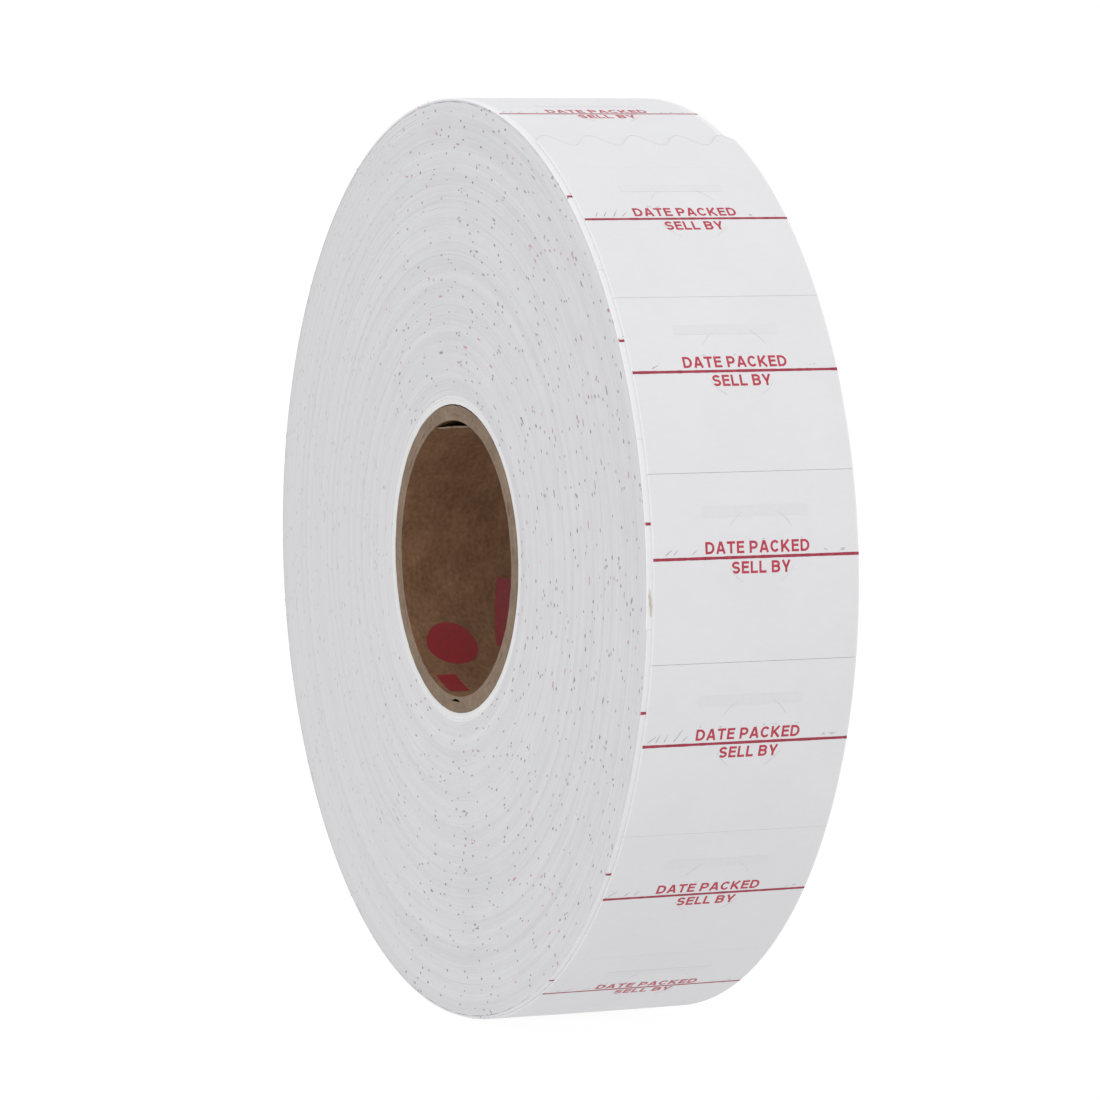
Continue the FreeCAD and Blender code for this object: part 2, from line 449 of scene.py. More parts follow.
LABEL = label_paper("label_face_paper", 0.590, 0.610)
# A lighter copy of the label paper: a painted highlight on the band along the web's side edges.
LABEL_EDGE_HIGHLIGHT = label_paper("label_edge_paper_painted_highlight", 0.636, 0.668)
# A much lighter copy of the label paper for cut walls: painted light that lifts the shade in the die cuts
# and at the edges.
CUT_WALL_PAINTED_LIGHT = label_paper("slit_paper_edge_painted_light", 0.780, 0.810)
LINER = liner_paper()
PACK = wound_paper("wound_web_edges", (0.655, 0.655, 0.667), (0.555, 0.555, 0.573))
LEADER = wound_paper("leader_web_edges", (0.755, 0.755, 0.760), (0.610, 0.610, 0.62))
KRAFT = kraft_paper(
    "kraft_board", dark=(0.082, 0.040, 0.020), middle=(0.152, 0.080, 0.041), light=(0.255, 0.143, 0.076)
)
KRAFT_END = kraft_paper(
    "kraft_board_cut", dark=(0.137, 0.096, 0.066), middle=(0.203, 0.146, 0.104), light=(0.284, 0.214, 0.157)
)
INK = ink("crimson_ink", (0.34, 0.018, 0.040), (0.43, 0.045, 0.075))
RULE_INK = ink("crimson_rule_ink", (0.23, 0.010, 0.032), (0.34, 0.030, 0.058))
# Grey strokes of painted shadow, standing for the shade in the die-cut slits.
SLIT_SHADOW = ink("slit_shadow", (0.47, 0.465, 0.49), (0.57, 0.565, 0.585))
DARK_SLIT = ink("slit_burr", (0.14, 0.11, 0.19), (0.40, 0.36, 0.46))
GHOST = ink("show_through", (0.573, 0.573, 0.587), (0.590, 0.590, 0.604))
DARK_SPECK = ink("rule_end_dark_ink", (0.23, 0.185, 0.23), (0.36, 0.31, 0.35))
RED_SPECK = ink("rule_end_red_ink", (0.42, 0.20, 0.28), (0.52, 0.36, 0.43))
FADED_SPECK = ink("rule_end_faded_ink", (0.47, 0.44, 0.48), (0.53, 0.50, 0.54))
CORE_INK = ink("core_patch_ink", (0.220, 0.014, 0.020), (0.165, 0.016, 0.018))
GLUE = ink("dried_glue", (0.40, 0.345, 0.27), (0.55, 0.51, 0.45))


# The wound pack.
COARSE_STEP = 5.0
FINE_STEP = 1.0
FINE_SWEEP = 400.0
EDGE_TILT = 0.016 * MM
CORE_GAP = 0.002 * MM
LAST_TAPER = 10.0


def wound_steps(start, end):
    """Places along the web, close together where its outer face shows and further apart inside the pack."""
    fine_count = int(FINE_SWEEP / FINE_STEP)
    places = [start + FINE_STEP * index for index in range(fine_count)]
    place = start + FINE_SWEEP
    while place < end:
        places.append(place)
        place += COARSE_STEP
    return places + [end]


def spiral(name, start, end, materials, nodes):
    """The web wound from start to end degrees, as one ribbon with a rough slit edge.

    The lap next to the core is pressed flat on it, so it thins out over its last turn.
    """
    tilt_rng = random.Random(5)
    tilts = [tilt_rng.uniform(-1, 1) for _ in range(int(end / FULL_TURN) + 3)]
    vertices, faces, slots = [], [], []
    for index, wound in enumerate(wound_steps(start, end)):
        tilt = EDGE_TILT * between_knots(tilts, wound / FULL_TURN)
        top = web_top(wound)
        floor = max(top - WEB_THICKNESS, core_radius + CORE_GAP)
        near = near_edge(wound)
        far = near + web_width
        angle = TAIL_END - wound
        vertices.append(polar(angle, top, near + max(tilt, 0) + dish(top)))
        vertices.append(polar(angle, top, far - max(tilt, 0) - dish(top)))
        vertices.append(polar(angle, floor, far + min(tilt, 0) - dish(floor)))
        vertices.append(polar(angle, floor, near - min(tilt, 0) + dish(floor)))
        if index:
            first = 4 * (index - 1)
            for side in range(4):
                after = (side + 1) % 4
                faces.append([first + side, first + 4 + side, first + 4 + after, first + after])
                slots.append(side % 2)
    last = len(vertices) - 4
    faces += [[0, 1, 2, 3], [last + 3, last + 2, last + 1, last]]
    slots += [1, 1]
    slots = [1 - slot for slot in slots]
    piece = add_mesh(name, vertices, faces, materials, "roll", False, slots)
    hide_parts(*nodes)
    return piece


covered_start = cut_wound(TAIL_LABELS + OUTER_LABELS)
covered_end = cut_wound(TAIL_LABELS + OUTER_LABELS + COVERED_LABELS)
core_wound = (OUTER_TOP - core_radius) / LAP * FULL_TURN
leader_wound = (OUTER_TOP - leader_radius) / LAP * FULL_TURN

wound_web = spiral("wound_web", covered_end, leader_wound, [PACK, LABEL_EDGE_HIGHLIGHT], ["wound_laps"])
leader_web = spiral("leader_web", leader_wound, core_wound - LAST_TAPER, [LEADER, LINER], ["leader_laps"])


# Labels and liner.
ROW_STEP = 0.5
EDGE_COLUMNS = [0.0, 0.12, 0.5, 1.5]
EDGE_DROP = 0.012 * MM
BRINK = 0.13 * MM


def columns_across(fine=False):
    """Distances across the web in metres from its near edge, closer together at the edges."""
    if fine:
        return [web_width * i / 120 for i in range(121)]
    middle = [1.5 + (web_width / MM - 3.0) * i / 8 for i in range(1, 8)]
    far = [web_width / MM - value for value in reversed(EDGE_COLUMNS)]
    return [value * MM for value in EDGE_COLUMNS + middle + far]


def scallop(across):
    """How far the scalloped cut lies past its middle line, at a distance from the web's far edge."""
    place = (web_width - across - SCALLOP_START) / SCALLOP_HALF
    return -SCALLOP_DEPTH * math.sin(math.pi * place)


def scalloped_start(across):
    """Degrees wound at which the web begins, at a distance across it."""
    return -math.degrees(scallop(across) / OUTER_TOP)


def is_cut_wall(face):
    """Whether a face of the web is cut paper, which looks neither out from the roll's axis nor in."""
    outwards = Vector((face.center.x, 0, face.center.z)).normalized()
    return abs(face.normal.dot(outwards)) < 0.6


def strip(name, start, end, top_drop, thickness, materials, body, scalloped=False, brink=BRINK):
    """A stretch of label or liner from start to end degrees wound, its outer face top_drop below the web's.

    The first material is for its faces, the last for its cut walls, and one between them for the outer
    face within brink of a side edge. The last two are painted light: paper lighter than the face's own.
    """
    across = columns_across(scalloped)
    rows = max(int((end - start) / ROW_STEP), 6)
    outer, inner = [], []
    for row in range(rows + 1):
        share = row / rows
        outer_row, inner_row = [], []
        for distance in across:
            begin = scalloped_start(distance) if scalloped else start
            wound = begin + (end - begin) * share
            edge = min(distance, web_width - distance)
            drop = EDGE_DROP * (1 - smooth(0, 0.5 * MM, edge)) if top_drop == 0 else 0
            top = web_top(max(wound, 0)) - top_drop
            place = near_edge(max(wound, 0)) + distance
            outer_row.append(polar(TAIL_END - wound, top - drop, place))
            inner_row.append(polar(TAIL_END - wound, top - thickness, place))
        outer.append(outer_row[::-1])
        inner.append(inner_row[::-1])
    middle = near_edge(max(start, 0)) + web_width / 2

    def paper(face):
        if is_cut_wall(face):
            return len(materials) - 1
        # Faces within brink of a side edge take the painted highlight.
        beside_edge = abs(face.center.y - middle) > web_width / 2 - brink
        return 1 if beside_edge and len(materials) > 2 else 0

    return shell(name, outer, inner, materials, body, slot_of=paper)


def half_cut_degrees(number):
    """Half the width of a die cut, in degrees. The cuts that the tail folds at stand a little open."""
    widths = {0: TIP_CUT, TAIL_LABELS: ROOT_CUT}
    width = widths.get(number, FOLDED_CUT if number < TAIL_LABELS else DIE_CUT)
    return math.degrees(width / 2 / OUTER_TOP)


def label(name, number, body, node):
    """The label between two die cuts."""
    start = cut_wound(number) + half_cut_degrees(number)
    end = cut_wound(number + 1) - half_cut_degrees(number + 1)
    # On the covered labels the painted highlight covers the whole strip that shows beside the outermost
    # lap.
    brink = outer_shift if node.startswith("covered") else BRINK
    piece = strip(name, start, end, 0, LABEL_THICKNESS, [LABEL, LABEL_EDGE_HIGHLIGHT, CUT_WALL_PAINTED_LIGHT], body, brink=brink)
    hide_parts(node)
    return piece


# Print.
INK_LIFT = 0.004 * MM
INK_THICKNESS = 0.006 * MM
RULE_WIDTH = 0.25 * MM
RULE_MARGIN = 0.02 * MM
CAP_HEIGHT = 1.01 * MM
LINE_GAP = 0.34 * MM
INK_SLOTS = [INK, SLIT_SHADOW, DARK_SLIT, GHOST, RULE_INK]
SOLID_INK, SLIT_SHADOW_SLOT, BURR_INK, GHOST_INK, RULE_SLOT = range(5)


def bowl(middle, reach, start, end, count=14):
    """Points round part of an ellipse, from start to end degrees."""
    turns = [math.radians(start + (end - start) * i / count) for i in range(count + 1)]
    return [(middle[0] + reach[0] * math.cos(t), middle[1] + reach[1] * math.sin(t)) for t in turns]


# Block letters for a cap height of 1: each is its width and the middle lines of its strokes.
WEIGHT = 0.20
HALF = WEIGHT / 2
HEAD = 1 - HALF
WAIST = 0.53
LETTER_GAP = 0.11
WORD_GAP = 0.30
STEM = [(HALF, 0), (HALF, 1)]
UPPER = (HEAD - WAIST) / 2
LOWER = (WAIST - HALF) / 2
S_REACH = 0.5 - HALF
LETTERS = {
    "A": (0.76, [[(0.09, 0), (0.36, 1)], [(0.67, 0), (0.40, 1)], [(0.19, 0.29), (0.57, 0.29)]]),
    "B": (0.70, [
        STEM,
        [(HALF, HEAD)] + bowl((0.36, WAIST + UPPER), (0.22, UPPER), 90, -90) + [(HALF, WAIST)],
        [(HALF, WAIST)] + bowl((0.38, HALF + LOWER), (0.22, LOWER), 90, -90) + [(HALF, HALF)],
    ]),
    "C": (0.74, [bowl((0.38, 0.5), (0.28, 0.5 - HALF), 38, 322, 24)]),
    "D": (0.74, [
        STEM,
        [(HALF, HEAD)] + bowl((0.32, 0.5), (0.32, 0.5 - HALF), 90, -90, 20) + [(HALF, HALF)],
    ]),
    "E": (0.60, [
        STEM,
        [(HALF, HEAD), (0.60, HEAD)],
        [(HALF, WAIST), (0.56, WAIST)],
        [(HALF, HALF), (0.60, HALF)],
    ]),
    "K": (0.74, [STEM, [(HALF, 0.30), (0.62, 1)], [(0.26, 0.52), (0.66, 0)]]),
    "L": (0.58, [STEM, [(HALF, HALF), (0.58, HALF)]]),
    "P": (0.68, [STEM, [(HALF, HEAD)] + bowl((0.36, 0.66), (0.22, HEAD - 0.66), 90, -90) + [(HALF, 0.42)]]),
    "S": (0.66, [
        bowl((0.33, 0.5 + S_REACH / 2), (0.23, S_REACH / 2), 20, 270, 18)
        + bowl((0.33, 0.5 - S_REACH / 2), (0.23, S_REACH / 2), 90, -160, 18)[1:]
    ]),
    "T": (0.66, [[(0, HEAD), (0.66, HEAD)], [(0.33, 0), (0.33, HEAD)]]),
    "Y": (0.72, [[(0.36, 0), (0.36, 0.45)], [(0.36, 0.36), (0.09, 1)], [(0.36, 0.36), (0.63, 1)]]),
}
FIRST_LINE, SECOND_LINE = "DATE PACKED", "SELL BY"
FIRST_LINE_OFF, SECOND_LINE_OFF = 0.1 * MM, 0.4 * MM
LETTER_STRETCH = 1.15
STROKE_STEP = 0.05


def line_width(words):
    """The width of a line of block letters, for a cap height of 1."""
    widths = [WORD_GAP if letter == " " else LETTERS[letter][0] + LETTER_GAP for letter in words]
    return sum(widths) - LETTER_GAP


class Print:
    """Thin shapes of ink laid on a surface, which place(across, up, height) describes."""

    def __init__(self, place):
        self.place = place
        self.vertices = []
        self.faces = []
        self.slots = []

    def shape(self, points, faces, across, up, slot):
        first = len(self.vertices)
        self.vertices += [self.place(across + x, up + y, z) for x, y, z in points]
        self.faces += [[first + i for i in face] for face in faces]
        self.slots += [slot] * len(faces)

    def write(self, words, across, up, slot):
        """A centred line of block letters on its baseline. Strokes that cross lie on each other."""
        place = -line_width(words) / 2
        for letter in words:
            if letter == " ":
                place += WORD_GAP
                continue
            width, strokes = LETTERS[letter]
            for layer, points in enumerate(strokes):
                path = []
                for x, y in points:
                    path.append((across + (place + x) * LETTER_STRETCH * CAP_HEIGHT, up + y * CAP_HEIGHT))
                self.stroke(path, WEIGHT * CAP_HEIGHT, slot, STROKE_STEP * layer)
            place += width + LETTER_GAP

    def stroke(self, path, widths, slot, layer=0.0):
        """A ribbon of ink along a path of (across, up) points, with one width or one for each point."""
        if not isinstance(widths, list):
            widths = [widths] * len(path)
        points, faces = [], []
        for index, ((x, y), width) in enumerate(zip(path, widths)):
            before = path[max(index - 1, 0)]
            after = path[min(index + 1, len(path) - 1)]
            run = (after[0] - before[0], after[1] - before[1])
            length = math.hypot(*run)
            off = (-run[1] / length * width / 2, run[0] / length * width / 2)
            for side, height in ((1, 0), (-1, 0), (-1, 1 + layer), (1, 1 + layer)):
                points.append((x + side * off[0], y + side * off[1], height))
            if index:
                first = 4 * (index - 1)
                for side in range(4):
                    turn = (side + 1) % 4
                    faces.append([first + side, first + turn, first + 4 + turn, first + 4 + side])
        last = 4 * (len(path) - 1)
        faces.append([3, 2, 1, 0])
        faces.append([last, last + 1, last + 2, last + 3])
        self.shape(points, faces, 0, 0, slot)

    def piece(self, name, materials, body, slot):
        """The shapes as one piece."""
        made = add_mesh(name, self.vertices, self.faces, materials, body, False, self.slots)
        return made


def web_place(origin_wound):
    """Places on the web's outer face: across from its middle, up against the winding from a point on it."""
    radius = web_top(origin_wound)

    def place(across, up, height):
        wound = origin_wound - math.degrees(up / radius)
        middle = near_edge(max(wound, 0)) + web_width / 2
        return polar(TAIL_END - wound, web_top(wound) + INK_LIFT + height * INK_THICKNESS, middle + across)

    return place


def rule_wound(number):
    """Where the rule of the label after a die cut lies."""
    return wound_at(web_length(cut_wound(number)) + RULE_FROM_CUT)


def straight(start, end, count, up=0.0):
    """Points along a line across the web."""
    return [(start + (end - start) * i / count, up) for i in range(count + 1)]


def uneven(count, width, chance, spread=0.12):
    """Widths of a ribbon of ink that was printed a little unevenly."""
    return [width * chance.uniform(1 - spread, 1 + spread) for _ in range(count + 1)]


ARC_RADIUS = 3.35 * MM
ARC_MIDDLE = (0.45 * MM, 0.80 * MM)
ARC_HALF_SWEEP = 15
ARC_WIDTHS = (0.02 * MM, 0.07 * MM)
TICK_PLACES = (-9.1, -8.35, -7.6, -6.7, -5.9)
LONG_TICK = -6.7
TICK_WIDTHS = [0.06 * MM, 0.045 * MM, 0.02 * MM]
TICK_FOOT = 0.35 * MM
MISSING_TICKS = 0.3
# Where fine dashes lie: from and to across the label, then from and to up from the rule, in mm.
DASH_AREAS = ((5.9, 8.6, 0.3, 0.55), (-5.0, 4.6, 1.45, 1.6))


def security_cuts(sheet, chance):
    """The slits that make a peeled label tear: four short arcs, drawn as grey strokes of painted shadow,
    leaning ticks, and dashes by the text.
    """
    for quarter in range(4):
        centre = 45 + 90 * quarter
        reach = (ARC_RADIUS, ARC_RADIUS)
        path = bowl(ARC_MIDDLE, reach, centre - ARC_HALF_SWEEP, centre + ARC_HALF_SWEEP, 8)
        sheet.stroke(path, [chance.uniform(*ARC_WIDTHS) for _ in path], SLIT_SHADOW_SLOT)
    for across in TICK_PLACES:
        if chance.random() < MISSING_TICKS:
            continue
        longest = 1.15 if across == LONG_TICK else 0.7
        rise = chance.uniform(0.30, longest) * MM
        lean = chance.uniform(0.25, 0.7) * MM
        start = (across * MM, TICK_FOOT)
        end = (start[0] + lean, start[1] + rise)
        half = ((start[0] + end[0]) / 2, (start[1] + end[1]) / 2)
        sheet.stroke([start, half, end], TICK_WIDTHS, BURR_INK)
    for low, high, least, most in DASH_AREAS:
        for _ in range(chance.randint(3, 9)):
            across = chance.uniform(low, high) * MM
            up = chance.uniform(least, most) * MM
            dash = chance.uniform(0.06, 0.24) * MM
            sheet.stroke([(across, up), (across + dash, up)], chance.uniform(0.02, 0.045) * MM, BURR_INK)


def show_through(sheet, number):
    """The faint grey of the first line on the label of the next lap in, seen through this one."""
    below = rule_wound(number + LAP_LABELS) - FULL_TURN
    up = math.radians(rule_wound(number) - below) * OUTER_TOP + LINE_GAP + CAP_HEIGHT / 2
    half = line_width(FIRST_LINE) * LETTER_STRETCH * CAP_HEIGHT / 2
    sheet.stroke(straight(-half, half, 6, up), CAP_HEIGHT * 0.9, GHOST_INK)


def print_label(name, number, body, seed):
    """Everything printed on or cut into one label."""
    chance = random.Random(seed)
    sheet = Print(web_place(rule_wound(number)))
    count = 48
    path = straight(-web_width / 2 + RULE_MARGIN, web_width / 2 - RULE_MARGIN, count)
    sheet.stroke(path, uneven(count, RULE_WIDTH, chance), RULE_SLOT)
    sheet.write(FIRST_LINE, FIRST_LINE_OFF, LINE_GAP, SOLID_INK)
    sheet.write(SECOND_LINE, SECOND_LINE_OFF, -LINE_GAP - CAP_HEIGHT, SOLID_INK)
    security_cuts(sheet, chance)
    show_through(sheet, number)
    return sheet.piece(name, INK_SLOTS, body, "label_paper")


def make_lap_rules():
    """The ends of the rules of the lap under the outermost one, where it shows beside that lap."""
    chance = random.Random(23)
    first = TAIL_LABELS + OUTER_LABELS + COVERED_LABELS
    vertices, faces, slots = [], [], []
    for number in range(first, TAIL_LABELS + OUTER_LABELS + LAP_LABELS + 1):
        sheet = Print(web_place(rule_wound(number)))
        path = straight(-web_width / 2 + RULE_MARGIN, -web_width / 2 + outer_shift + 0.1 * MM, 6)
        sheet.stroke(path, uneven(6, RULE_WIDTH, chance), 0)
        faces += [[len(vertices) + i for i in face] for face in sheet.faces]
        vertices += sheet.vertices
        slots += sheet.slots
    piece = add_mesh("lap_rule_ends", vertices, faces, [RULE_INK], "roll", False, slots)


def make_labels():
    """Every label that shows, with its print."""
    places = [("leading_label_face", 0, "leading_label", "leading_label")]
    places.append(("tail_label_face_1", 1, "tail_middle", "tail_label_middle"))
    places.append(("tail_label_face_2", 2, "tail_base", "tail_label_base"))
    for number in range(1, OUTER_LABELS + 1):
        places.append((f"outer_label_face_{number:02d}", number + 2, "roll", f"outer_label_{number:02d}"))
    for number in range(1, COVERED_LABELS + 1):
        index = number + OUTER_LABELS + TAIL_LABELS - 1
        places.append((f"covered_label_face_{number}", index, "roll", f"covered_label_{number}"))
    for name, index, body, node in places:
        label(name, index, body, node)
        print_label(name.replace("face", "print"), index, body, 100 + index)


def make_liners():
    """The liner under the labels. On the tail each piece reaches from the middle of one label to the middle
    of the next.
    """
    first_cut = cut_wound(0)
    middles = [(cut_wound(n) + cut_wound(n + 1)) / 2 for n in range(1, 4)]
    drop = LABEL_THICKNESS
    # The liner's cut walls take the painted light too.
    papers = [LINER, CUT_WALL_PAINTED_LIGHT]
    stretches = [
        ("tail_liner_tip", first_cut, middles[0], "tail_middle", "tail_end", 1, "tail_liner_end"),
        ("tail_liner_bend", middles[0], middles[1], "tail_base", "tail_middle", 2, "tail_liner_middle"),
        ("tail_liner_root", middles[1], middles[2], "roll", "tail_base", 3, "tail_liner_base"),
    ]
    for name, start, end, inner_body, outer_body, cut, node in stretches:
        piece = strip(name, start, end, drop, LINER_THICKNESS, papers, None, scalloped=cut == 1)
        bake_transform(piece)
        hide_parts(node)
    laps = [
        ("outer_liner", middles[2], covered_start, "outer_lap_liner"),
        ("covered_liner", covered_start, covered_end, "covered_lap_liner"),
    ]
    for name, start, end, node in laps:
        piece = strip(name, start, end, drop, LINER_THICKNESS, papers, "roll")
        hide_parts(node)


# The grey line along the scalloped cut: a burr, and a painted shadow that is widest where the cut climbs
# steeply.
BURR_AND_SHADOW_WIDTHS = (0.008 * MM, 0.078 * MM)
BURR_AND_SHADOW_SETBACK = 0.04 * MM
BURR_AND_SHADOW_MARGIN = 0.03 * MM
STEEP_CLIMB = 0.15 * MM


def make_stub():
    """What is left of the label that the scalloped cut went through, and a grey line along the cut that is
    partly a burr and partly a painted shadow.
    """
    end = cut_wound(0) - half_cut_degrees(0)
    papers = [LABEL, LABEL_EDGE_HIGHLIGHT, CUT_WALL_PAINTED_LIGHT]
    piece = strip("cut_label_stub_face", 0, end, 0, LABEL_THICKNESS, papers, "tail_end", True)
    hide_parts("cut_label_stub")
    chance = random.Random(31)
    heaviness = [chance.random() for _ in range(24)]
    count = 240
    path, widths = [], []
    for index in range(count + 1):
        across = BURR_AND_SHADOW_MARGIN + (web_width - 2 * BURR_AND_SHADOW_MARGIN) * index / count
        climb = scallop(across) - scallop(across - SCALLOP_HALF / 8)
        path.append((across - web_width / 2, scallop(across) - BURR_AND_SHADOW_SETBACK))
        share = (0.25 + smooth(0, STEEP_CLIMB, climb)) * between_knots(heaviness, index / 12)
        widths.append(BURR_AND_SHADOW_WIDTHS[0] + (BURR_AND_SHADOW_WIDTHS[1] - BURR_AND_SHADOW_WIDTHS[0]) * share)
    sheet = Print(web_place(0.0))
    sheet.stroke(path, widths, 0)
    sheet.piece("tail_cut_burr_and_shadow", [SLIT_SHADOW], "tail_end", "label_paper")


GLUE_ANGLE = -1.4
GLUE_FROM_EDGE = 0.36 * MM
GLUE_LEAN = 0.16 * MM
GLUE_LENGTH = 2.3 * MM
GLUE_BELOW = 1.0 * MM


def make_glue():
    """A fleck of dried glue on the strip of the second lap that shows beside the outermost one."""
    chance = random.Random(41)
    sheet = Print(web_place(TAIL_END - GLUE_ANGLE + FULL_TURN))
    edge = -web_width / 2
    count = 14
    path, widths = [], []
    for index in range(count + 1):
        share = index / count
        across = edge + GLUE_FROM_EDGE - GLUE_LEAN * share + chance.uniform(-0.03, 0.03) * MM
        path.append((across, GLUE_LENGTH * share - GLUE_BELOW))
        widths.append((0.05 + 0.20 * math.sin(math.pi * share) * chance.uniform(0.6, 1.2)) * MM)
    sheet.stroke(path, widths, 0)
    sheet.piece("glue_fleck", [GLUE], "roll", "label_paper")


SPECK_SIDES = 6
SPECK_PROUD = 0.008 * MM
SPECK_DEEP = 0.03 * MM
FADE_FROM = 0.25 * roll_radius


def speck(vertices, faces, angle, radius, half_width, half_height, face, side):
    """One flat six-sided fleck on a side of the pack, with a wall that runs into it."""
    first = len(vertices)
    for across in (face + side * SPECK_PROUD, face - side * SPECK_DEEP):
        for step in range(SPECK_SIDES):
            turned = math.radians(FULL_TURN * step / SPECK_SIDES)
            place = angle + half_width * math.cos(turned)
            vertices.append(polar(place, radius + half_height * math.sin(turned), across))
    front = [first + i for i in range(SPECK_SIDES)]
    faces.append(front if side < 0 else front[::-1])
    for i in range(SPECK_SIDES):
        j = (i + 1) % SPECK_SIDES
        wall = [first + i, first + SPECK_SIDES + i, first + SPECK_SIDES + j, first + j]
        faces.append(wall if side < 0 else wall[::-1])


def make_rule_ends():
    """The ends of the printed rules, which show as specks on the pack's two side faces."""
    chance = random.Random(3)
    for name, side in (("rule_ends_near", -1), ("rule_ends_far", 1)):
        vertices, faces, slots = [], [], []
        number = TAIL_LABELS + OUTER_LABELS + 1
        wound = rule_wound(number)
        while wound < leader_wound:
            radius = web_top(wound) - LABEL_THICKNESS * chance.uniform(0.2, 0.8)
            strong = chance.random() < 0.45
            half_height = (chance.uniform(0.090, 0.135) if strong else chance.uniform(0.060, 0.092)) * MM
            half_width = math.degrees(chance.uniform(0.12, 0.21) * MM / radius)
            if chance.random() < 0.06:
                half_width *= 2.2
            face = near_edge(wound) + (0 if side < 0 else web_width) - side * dish(radius)
            angle = TAIL_END - wound + chance.uniform(-0.3, 0.3)
            if chance.random() < 0.92:
                speck(vertices, faces, angle, radius, half_width, half_height, face, side)
                along_x = radius * math.cos(math.radians(angle))
                faded = chance.random() < smooth(-FADE_FROM, FADE_FROM, -along_x - FADE_FROM)
                slots += [2 if faded else 0 if chance.random() < 0.62 else 1] * (SPECK_SIDES + 1)
            number += 1
            wound = rule_wound(number)
        piece = add_mesh(name, vertices, faces, [DARK_SPECK, RED_SPECK, FADED_SPECK], "roll", False, slots)


# The core.
PLY_STEPS = 480
PLY_COLUMNS = 24
SEAM_ANGLE = 171.0
SEAM_HALF = 0.8
SEAM_DEPTH = 0.05 * MM
OVAL_GAP, OVAL_HALF = 0.11 * MM, 32.0
SPLIT_ANGLE, SPLIT_HALF, SPLIT_OPENING, SPLIT_REACH = 270.5, 4.0, 0.26 * MM, 3.0 * MM
BLISTER_ANGLE, BLISTER_HALF, BLISTER_REACH = 94.0, 17.0, 6.0 * MM
BLISTER_SAG = 0.56 * MM
FRAY = 0.05 * MM
FRAY_WAVES = (5, 17, 41)


def opening(angle, middle, half):
    """1 at the middle of an opening and 0 from half its width on, all in degrees."""
    away = abs((angle - middle + FULL_TURN / 2) % FULL_TURN - FULL_TURN / 2) / half
    return max(1 - away * away, 0.0)


def frayed(angle, phases):
    """How far the sawn end of a ply stands back at an angle."""
    turned = math.radians(angle)
    waves = sum(math.sin(count * turned + phase) for count, phase in zip(FRAY_WAVES, phases))
    return FRAY * (0.5 + waves / 6)


def core_slot(face):
    """The second material for the core's sawn ends, which look along the roll's axis."""
    return 1 if abs(face.normal.y) > 0.6 else 0


def make_core():
    """The three kraft plies, with a seam in the bore and a split between two of them at the bottom."""
    thickness = (core_radius - bore_radius) / 3
    chance = random.Random(9)
    for ply, node in enumerate(("core_inner_ply", "core_middle_ply", "core_outer_ply")):
        phases = [chance.uniform(0, 2 * math.pi) for _ in range(3)]
        low = bore_radius + ply * thickness
        high = low + thickness - 0.003 * MM
        outer, inner = [], []
        for step in range(PLY_STEPS):
            angle = FULL_TURN * step / PLY_STEPS
            near = core_near + frayed(angle, phases)
            far = core_far - frayed(angle + 90, phases)
            split = SPLIT_OPENING * opening(angle, SPLIT_ANGLE, SPLIT_HALF) if ply == 0 else 0
            seam = SEAM_DEPTH * opening(angle, SEAM_ANGLE, SEAM_HALF) if ply == 0 else 0
            oval = OVAL_GAP * opening(angle, 90, OVAL_HALF) if ply == 2 else 0
            outer_row, inner_row = [], []
            for column in range(PLY_COLUMNS + 1):
                place = near + (far - near) * (column / PLY_COLUMNS) ** 1.5
                fade = 1 - smooth(0, SPLIT_REACH, place - near)
                outer_row.append(polar(angle, high - split * fade - oval, place))
                inner_row.append(polar(angle, low + seam, place))
            outer.append(outer_row)
            inner.append(inner_row)
        name = node.replace("ply", "board")
        piece = shell(name, outer, inner, [KRAFT, KRAFT_END], "roll", True, core_slot)
        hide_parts(node)


def make_blister():
    """The bore's surface paper, come away from the inner ply at the top of the near end."""
    chance = random.Random(17)
    ragged = [chance.random() for _ in range(40)]
    rows, columns = 68, 24
    outer, inner = [], []
    for row in range(rows + 1):
        angle = BLISTER_ANGLE - BLISTER_HALF + 2 * BLISTER_HALF * row / rows
        near = core_near + 0.30 * MM * between_knots(ragged, row / 2)
        outer_row, inner_row = [], []
        for column in range(columns + 1):
            place = near + BLISTER_REACH * column / columns
            fade = 1 - smooth(0, BLISTER_REACH, place - near)
            sag = opening(angle, BLISTER_ANGLE, BLISTER_HALF) ** 0.7 * fade
            under = bore_radius + 0.03 * MM - BLISTER_SAG * sag
            outer_row.append(polar(angle, under, place))
            inner_row.append(polar(angle, under - (0.034 + 0.10 * min(4 * sag, 1)) * MM, place))
        outer.append(outer_row)
        inner.append(inner_row)
    piece = shell("core_torn_surface", outer, inner, [KRAFT, KRAFT_END], "roll", False, core_slot)


def bore_place(angle, across_middle):
    """Places on the bore's wall: along the axis from a middle, and round it from an angle."""

    def place(across, up, height):
        radius = bore_radius - INK_LIFT - height * INK_THICKNESS
        return polar(angle - math.degrees(up / bore_radius), radius, core_near + across_middle + across)

    return place


DOT_RADIUS = 2.45 * MM


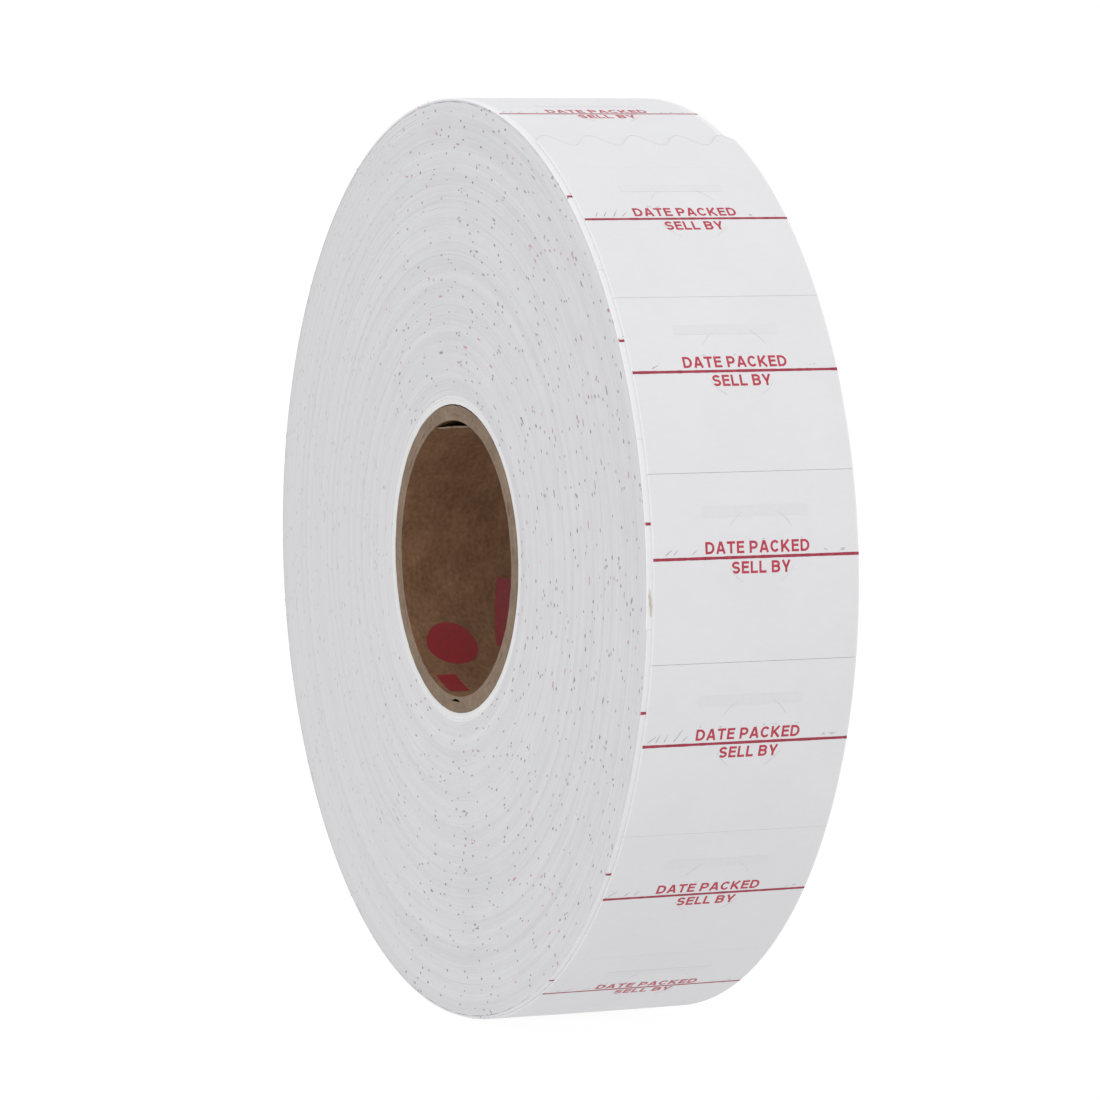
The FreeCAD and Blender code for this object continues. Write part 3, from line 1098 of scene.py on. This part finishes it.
def make_core_prints():
    """Plain printed patches inside the core: a round dot, a short bar and a long bar."""
    chance = random.Random(29)
    count = 40
    path, widths = [], []
    for index in range(count + 1):
        up = DOT_RADIUS * (2 * index / count - 1) * 0.999
        path.append((0.0, up))
        widths.append(2 * math.sqrt(DOT_RADIUS * DOT_RADIUS - up * up))
    dot = Print(bore_place(224.0, 3.55 * MM))
    dot.stroke(path, widths, 0)
    dot.piece("core_print_dot", [CORE_INK], "roll", "kraft_core")
    bars = (
        ("core_print_short_bar", 251.0, 1.55 * MM, 3.6, 1.9, 0.0),
        ("core_print_long_bar", 211.0, 10.15 * MM, 7.0, 3.2, 0.22),
    )
    for name, angle, middle, length, width, lean in bars:
        ups = [(index / count - 0.5) * length * MM for index in range(count + 1)]
        path = [(up * lean, up) for up in ups]
        bar = Print(bore_place(angle, middle))
        bar.stroke(path, uneven(count, width * MM, chance, 0.03), 0)
        bar.piece(name, [CORE_INK], "roll", "kraft_core")


make_labels()
make_lap_rules()
make_liners()
make_stub()
make_glue()
make_rule_ends()
make_core()
make_blister()
make_core_prints()


# Camera, floor and light.
LENS = 183.1
AZIMUTH, ELEVATION = 65.70, 4.295
DISTANCE = 501.23 * MM
AIM_RIGHT, AIM_UP = -0.110 * MM, 0.474 * MM
AXIS_OFFSET = 0.275 * MM
FLOOR_HALF = 6.0
SKY_AT_HORIZON, SKY_OVERHEAD = 1.01, 1.24
LAMP_PLACE = (0.85, -0.2, 0.62)
LAMP_SIZE, LAMP_POWER = 0.6, 2.0


def make_camera():
    """The camera, level, looking at the roll from its label side and a little above."""
    azimuth, elevation = math.radians(AZIMUTH), math.radians(ELEVATION)
    level = math.cos(elevation)
    back = Vector((math.sin(azimuth) * level, -math.cos(azimuth) * level, math.sin(elevation)))
    right = Vector((math.cos(azimuth), math.sin(azimuth), 0))
    up = back.cross(right)
    place = back * DISTANCE + right * AIM_RIGHT + up * AIM_UP + Vector((0, AXIS_OFFSET, 0))
    data = bpy.data.cameras.new("camera")
    data.lens = LENS
    data.sensor_width = 36.0
    data.clip_start = 0.01
    camera = bpy.data.objects.new("camera", data)
    camera.matrix_world = Matrix.Translation(place) @ Matrix((right, up, back)).transposed().to_4x4()
    bpy.context.scene.collection.objects.link(camera)
    bpy.context.scene.camera = camera


def make_floor():
    """A pale floor that the roll stands on."""
    half = FLOOR_HALF
    level = -roll_radius
    corners = [(-half, -half, level), (half, -half, level), (half, half, level), (-half, half, level)]
    floor = add_mesh("floor", corners, [[0, 1, 2, 3]], [floor_paint()], None)


def make_light():
    """An even pale sky that is a little brighter overhead, and one large soft lamp."""
    world = bpy.data.worlds.new("studio")
    world.use_nodes = True
    tree = world.node_tree
    background = tree.nodes["Background"]
    coordinates = tree.nodes.new("ShaderNodeTexCoord")
    split = tree.nodes.new("ShaderNodeSeparateXYZ")
    ramp = tree.nodes.new("ShaderNodeMapRange")
    ramp.inputs["To Min"].default_value = SKY_AT_HORIZON
    ramp.inputs["To Max"].default_value = SKY_OVERHEAD
    tree.links.new(coordinates.outputs["Generated"], split.inputs[0])
    tree.links.new(split.outputs["Z"], ramp.inputs["Value"])
    tree.links.new(ramp.outputs[0], background.inputs["Strength"])
    background.inputs["Color"].default_value = (1.0, 1.0, 1.0, 1.0)
    bpy.context.scene.world = world
    lamp_data = bpy.data.lights.new("softbox", "AREA")
    lamp_data.energy = LAMP_POWER
    lamp_data.size = LAMP_SIZE
    lamp = bpy.data.objects.new("softbox", lamp_data)
    lamp.location = LAMP_PLACE
    lamp.rotation_euler = (Vector((0, 0, 0)) - Vector(lamp.location)).to_track_quat("-Z", "Y").to_euler()
    bpy.context.scene.collection.objects.link(lamp)
    bpy.context.scene.view_settings.view_transform = "Standard"


make_camera()
make_floor()
make_light()
